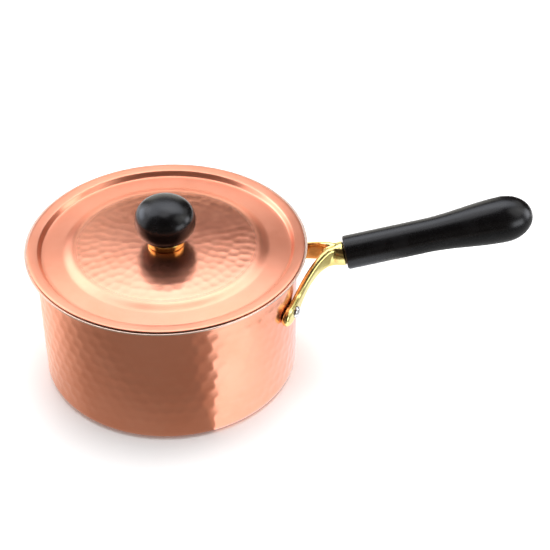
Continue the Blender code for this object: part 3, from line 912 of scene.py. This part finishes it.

# Painted reflections of soft boxes: glowing patches on the room's wall (the dome) that are no
# lamps, light nothing and show only in polished things. Colour where 1 is white, then azimuth (0 is
# the back, 90 the right) and elevation in degrees, each as from, to and softness.
paintedSoftBoxes = {
    "overhead": (rgb(2.3, 2.4, 2.65), (-95, 80, 10), (46, 77, 3)),
    "overheadMiddle": (rgb(1.1, 1.1, 1.1), (-10, 65, 14), (58, 80, 5)),
    "left": (rgb(1.45, 1.45, 1.55), (-105, -30, 4), (-5, 46, 3)),
    "leftGap": (rgb(0.7, 0.7, 0.7), (-30, -8, 5), (36, 46, 3)),
    "window": (rgb(2.6, 2.9, 3.4), (-80, -43, 7), (15, 36, 6)),
    "rightHigh": (rgb(1.3, 1.3, 1.3), (88, 124, 6), (28, 62, 6)),
    "lowBack": (rgb(1.33, 1.30, 1.2), (-20, 20, 6), (-5, 33, 2)),
    "right": (rgb(1.0, 1.0, 1.0), (50, 100, 8), (29, 48, 3)),
    "rightSpot": (rgb(4.4, 4.5, 4.8), (78, 98, 6), (6, 26, 6)),
    "leftHigh": (rgb(1.2, 1.2, 1.3), (-66, -36, 5), (34, 56, 5)),
    "zenith": (rgb(1.9, 1.9, 2.0), (-200, 200, 5), (79, 95, 3)),
    "frontRight": (rgb(0.11, 0.10, 0.09), (135, 200, 10), (12, 33, 4)),
    "frontLeft": (rgb(0.11, 0.10, 0.09), (-200, -115, 10), (12, 33, 4)),
    "lowRight": (rgb(3.6, 3.7, 3.9), (110, 139, 4), (1, 19, 4)),
}


def addStage(name, work, material):
    mesh = bpy.data.meshes.new(name)
    work.to_mesh(mesh)
    work.free()
    mesh.materials.append(material)
    piece = bpy.data.objects.new(name, mesh)
    bpy.context.scene.collection.objects.link(piece)
    return piece


def reflectionsOnly(piece):
    piece.visible_camera = False
    piece.visible_diffuse = False
    piece.visible_shadow = False


def makeFloor(studio):
    # White and matt, so it keeps the pan's shadow.
    work = bmesh.new()
    bmesh.ops.create_grid(work, x_segments=1, y_segments=1, size=studio["floorSize"] / 2)
    bmesh.ops.translate(work, vec=(0, 0, studio["floorHeight"]), verts=work.verts)
    finish = Finish("whiteSheet")
    shade = studio["floorShade"]
    diffuse = finish.node("BsdfDiffuse", {}, {"Color": rgb(shade, shade, shade)})
    glow = finish.node("Emission", {}, {"Color": rgb(1, 1, 1), "Strength": 1.0})
    far = softEdge(finish, finish.aroundAxis()[0], *studio["floorFade"])
    shader = finish.node("MixShader", {}, {0: far, 1: diffuse, 2: glow})
    addStage("studioFloor", work, finish.finishWith(shader))


def makePaintedReflectionRoom(studio, paintedSoftBoxes):
    # Painted reflections: a dim glowing dome, no lamp, with soft boxes painted on its wall, seen in
    # reflections only and lighting nothing.
    work = bmesh.new()
    bmesh.ops.create_icosphere(work, subdivisions=5, radius=studio["roomRadius"])
    bmesh.ops.bisect_plane(work, geom=work.verts[:] + work.edges[:] + work.faces[:],
                           plane_co=(0, 0, 0), plane_no=(0, 0, -1), clear_outer=True)
    finish = Finish("paintedReflectionGlow")
    across, along, height = finish.coordinates()
    azimuth = across.sum("ARCTAN2", across, along) * math.degrees(1)
    elevation = height.sum("ARCSINE", height / studio["roomRadius"], 0) * math.degrees(1)
    colour = studio["paintedDimReflection"]
    for light, (left, right, sideSoft), (low, high, endSoft) in paintedSoftBoxes.values():
        box = softBand(finish, azimuth, left, right, sideSoft)
        box = box * softBand(finish, elevation, low, high, endSoft)
        colour = finish.mix(box, colour, light, "ADD")
    shader = finish.node("Emission", {}, {"Color": colour, "Strength": 1.0})
    reflectionsOnly(addStage("paintedReflectionRoom", work, finish.finishWith(shader)))


def addPaintedFloorBoard(studio, name, tint, corners, stops):
    # Painted reflection: a glowing board lying by the pan, seen only in polished things and
    # lighting nothing. Its grey changes from the front (-Y) to the back.
    work = bmesh.new()
    work.faces.new([work.verts.new((x, y, studio["boardHeight"])) for x, y in corners])
    finish = Finish(name + "Paint")
    along = finish.coordinates()[1]
    front, back = studio["boardRamp"]
    share = finish.node("MapRange", {}, {"Value": along, "From Min": front, "From Max": back})
    grey = finish.ramp(share, stops)
    colour = finish.mix(1.0, grey, tint, "MULTIPLY")
    shader = finish.node("Emission", {}, {"Color": colour, "Strength": 1.0})
    reflectionsOnly(addStage(name, work, finish.finishWith(shader)))


def makeWorld(studio):
    # White to the camera and to anything polished, and a plain fill on the rest.
    world = bpy.data.worlds.new("whiteStudio")
    bpy.context.scene.world = world
    world.use_nodes = True
    tree = world.node_tree
    tree.nodes.clear()
    path = tree.nodes.new("ShaderNodeLightPath")
    camera = path.outputs["Is Camera Ray"]
    for name in ("Is Glossy Ray", "Is Transmission Ray"):
        either = tree.nodes.new("ShaderNodeMath")
        either.operation = "MAXIMUM"
        tree.links.new(camera, either.inputs[0])
        tree.links.new(path.outputs[name], either.inputs[1])
        camera = either.outputs[0]
    strength = tree.nodes.new("ShaderNodeMapRange")
    strength.inputs["To Min"].default_value = studio["worldFill"]
    strength.inputs["To Max"].default_value = 1.0
    tree.links.new(camera, strength.inputs["Value"])
    back = tree.nodes.new("ShaderNodeBackground")
    back.inputs["Color"].default_value = (1, 1, 1, 1)
    tree.links.new(strength.outputs["Result"], back.inputs["Strength"])
    out = tree.nodes.new("ShaderNodeOutputWorld")
    tree.links.new(back.outputs[0], out.inputs["Surface"])


topLamp = {
    "place": Vector((0.12, 0.28, 1.6)),
    "width": 1.6,
    "power": 37,
}


def addLamp(topLamp):
    # A soft square lamp over the pan, for the floor and the plain surfaces.
    data = bpy.data.lights.new("topLamp", "AREA")
    data.shape = "SQUARE"
    data.size = topLamp["width"]
    data.energy = topLamp["power"]
    lamp = bpy.data.objects.new("topLamp", data)
    bpy.context.scene.collection.objects.link(lamp)
    lamp.location = topLamp["place"]
    lamp.rotation_euler = (-topLamp["place"]).to_track_quat("-Z", "Y").to_euler()
    lamp.visible_glossy = False


# Painted reflections on the floor: glowing boards that only polished things see, with painted shade
# (the dark, middle and handle ones) and a painted pool of light (the bright one) for the wall to
# reflect. Each has a tint, corners, and stops of (share of the ramp, grey). The dark one meets the
# next two along a line from nearEdge to farEdge, 40 degrees from the front.
nearEdge, farEdge = (0.028, -0.0865), (0.170, -0.2557)
paintedShadeCorner, halfShadeCorner = (0.2505, -0.7710), (0.4140, -0.5465)
paintedFloorBoards = {
    # painted shade in the wall's reflection, darkest at the front and warm-tinted
    "paintedShadeSheet": (
        rgb(1.14, 1.0, 0.90), [nearEdge, paintedShadeCorner, (-0.8, -0.8), (-0.8, 0.1), (-0.06, 0.1)],
        [(0.22, 0.26), (0.32, 0.33), (0.42, 0.40), (0.53, 0.66), (0.68, 1.1), (1.0, 1.3)]),
    # painted half shade in the wall's reflection, between the dark and the bright board
    "paintedHalfShadeSheet": (
        rgb(1.20, 1.0, 0.88), [nearEdge, farEdge, halfShadeCorner, paintedShadeCorner],
        [(0.22, 0.34), (0.32, 0.44), (0.42, 0.56)]),
    # painted pool of light in the wall's reflection, glowing brighter than white though it is no
    # lamp
    "paintedLightSheet": (
        rgb(1.06, 1.08, 1.15), [farEdge, nearEdge, (0.06, 0.1), (0.170, 0.1)],
        [(0.0, 1.45), (0.30, 1.6), (0.41, 1.35), (0.52, 1.2), (0.64, 1.1), (1.0, 1.0)]),
    # painted shade in the reflections by the handle, darker towards the front
    "paintedHandleShadeSheet": (
        rgb(1.0, 1.0, 1.0), [farEdge, (0.190, 0.15), (1.0, 0.15), (1.0, -0.5465), halfShadeCorner],
        [(0.0, 0.20), (0.2, 0.40), (0.5, 0.50), (1.0, 0.60)]),
}
makeFloor(studio)
makePaintedReflectionRoom(studio, paintedSoftBoxes)
for name, (tint, corners, stops) in paintedFloorBoards.items():
    addPaintedFloorBoard(studio, name, tint, corners, stops)
makeWorld(studio)
addLamp(topLamp)
print("studio lit")


# Camera at the photograph's angle

view = {
    "sensor": 36,
    "lens": 98.116364,
    "place": (0.0172402, -0.8353860, 0.7273518),
    "down": 38.16,          # degrees below level
    "turn": -4,             # degrees from straight along +Y
}
cameraData = bpy.data.cameras.new("photoCamera")
cameraData.sensor_width = view["sensor"]
cameraData.lens = view["lens"]
camera = bpy.data.objects.new("photoCamera", cameraData)
bpy.context.scene.collection.objects.link(camera)
camera.location = view["place"]
camera.rotation_euler = (math.radians(90 - view["down"]), 0, math.radians(view["turn"]))
bpy.context.scene.camera = camera
bpy.context.scene.view_settings.view_transform = "Standard"
print("camera placed")
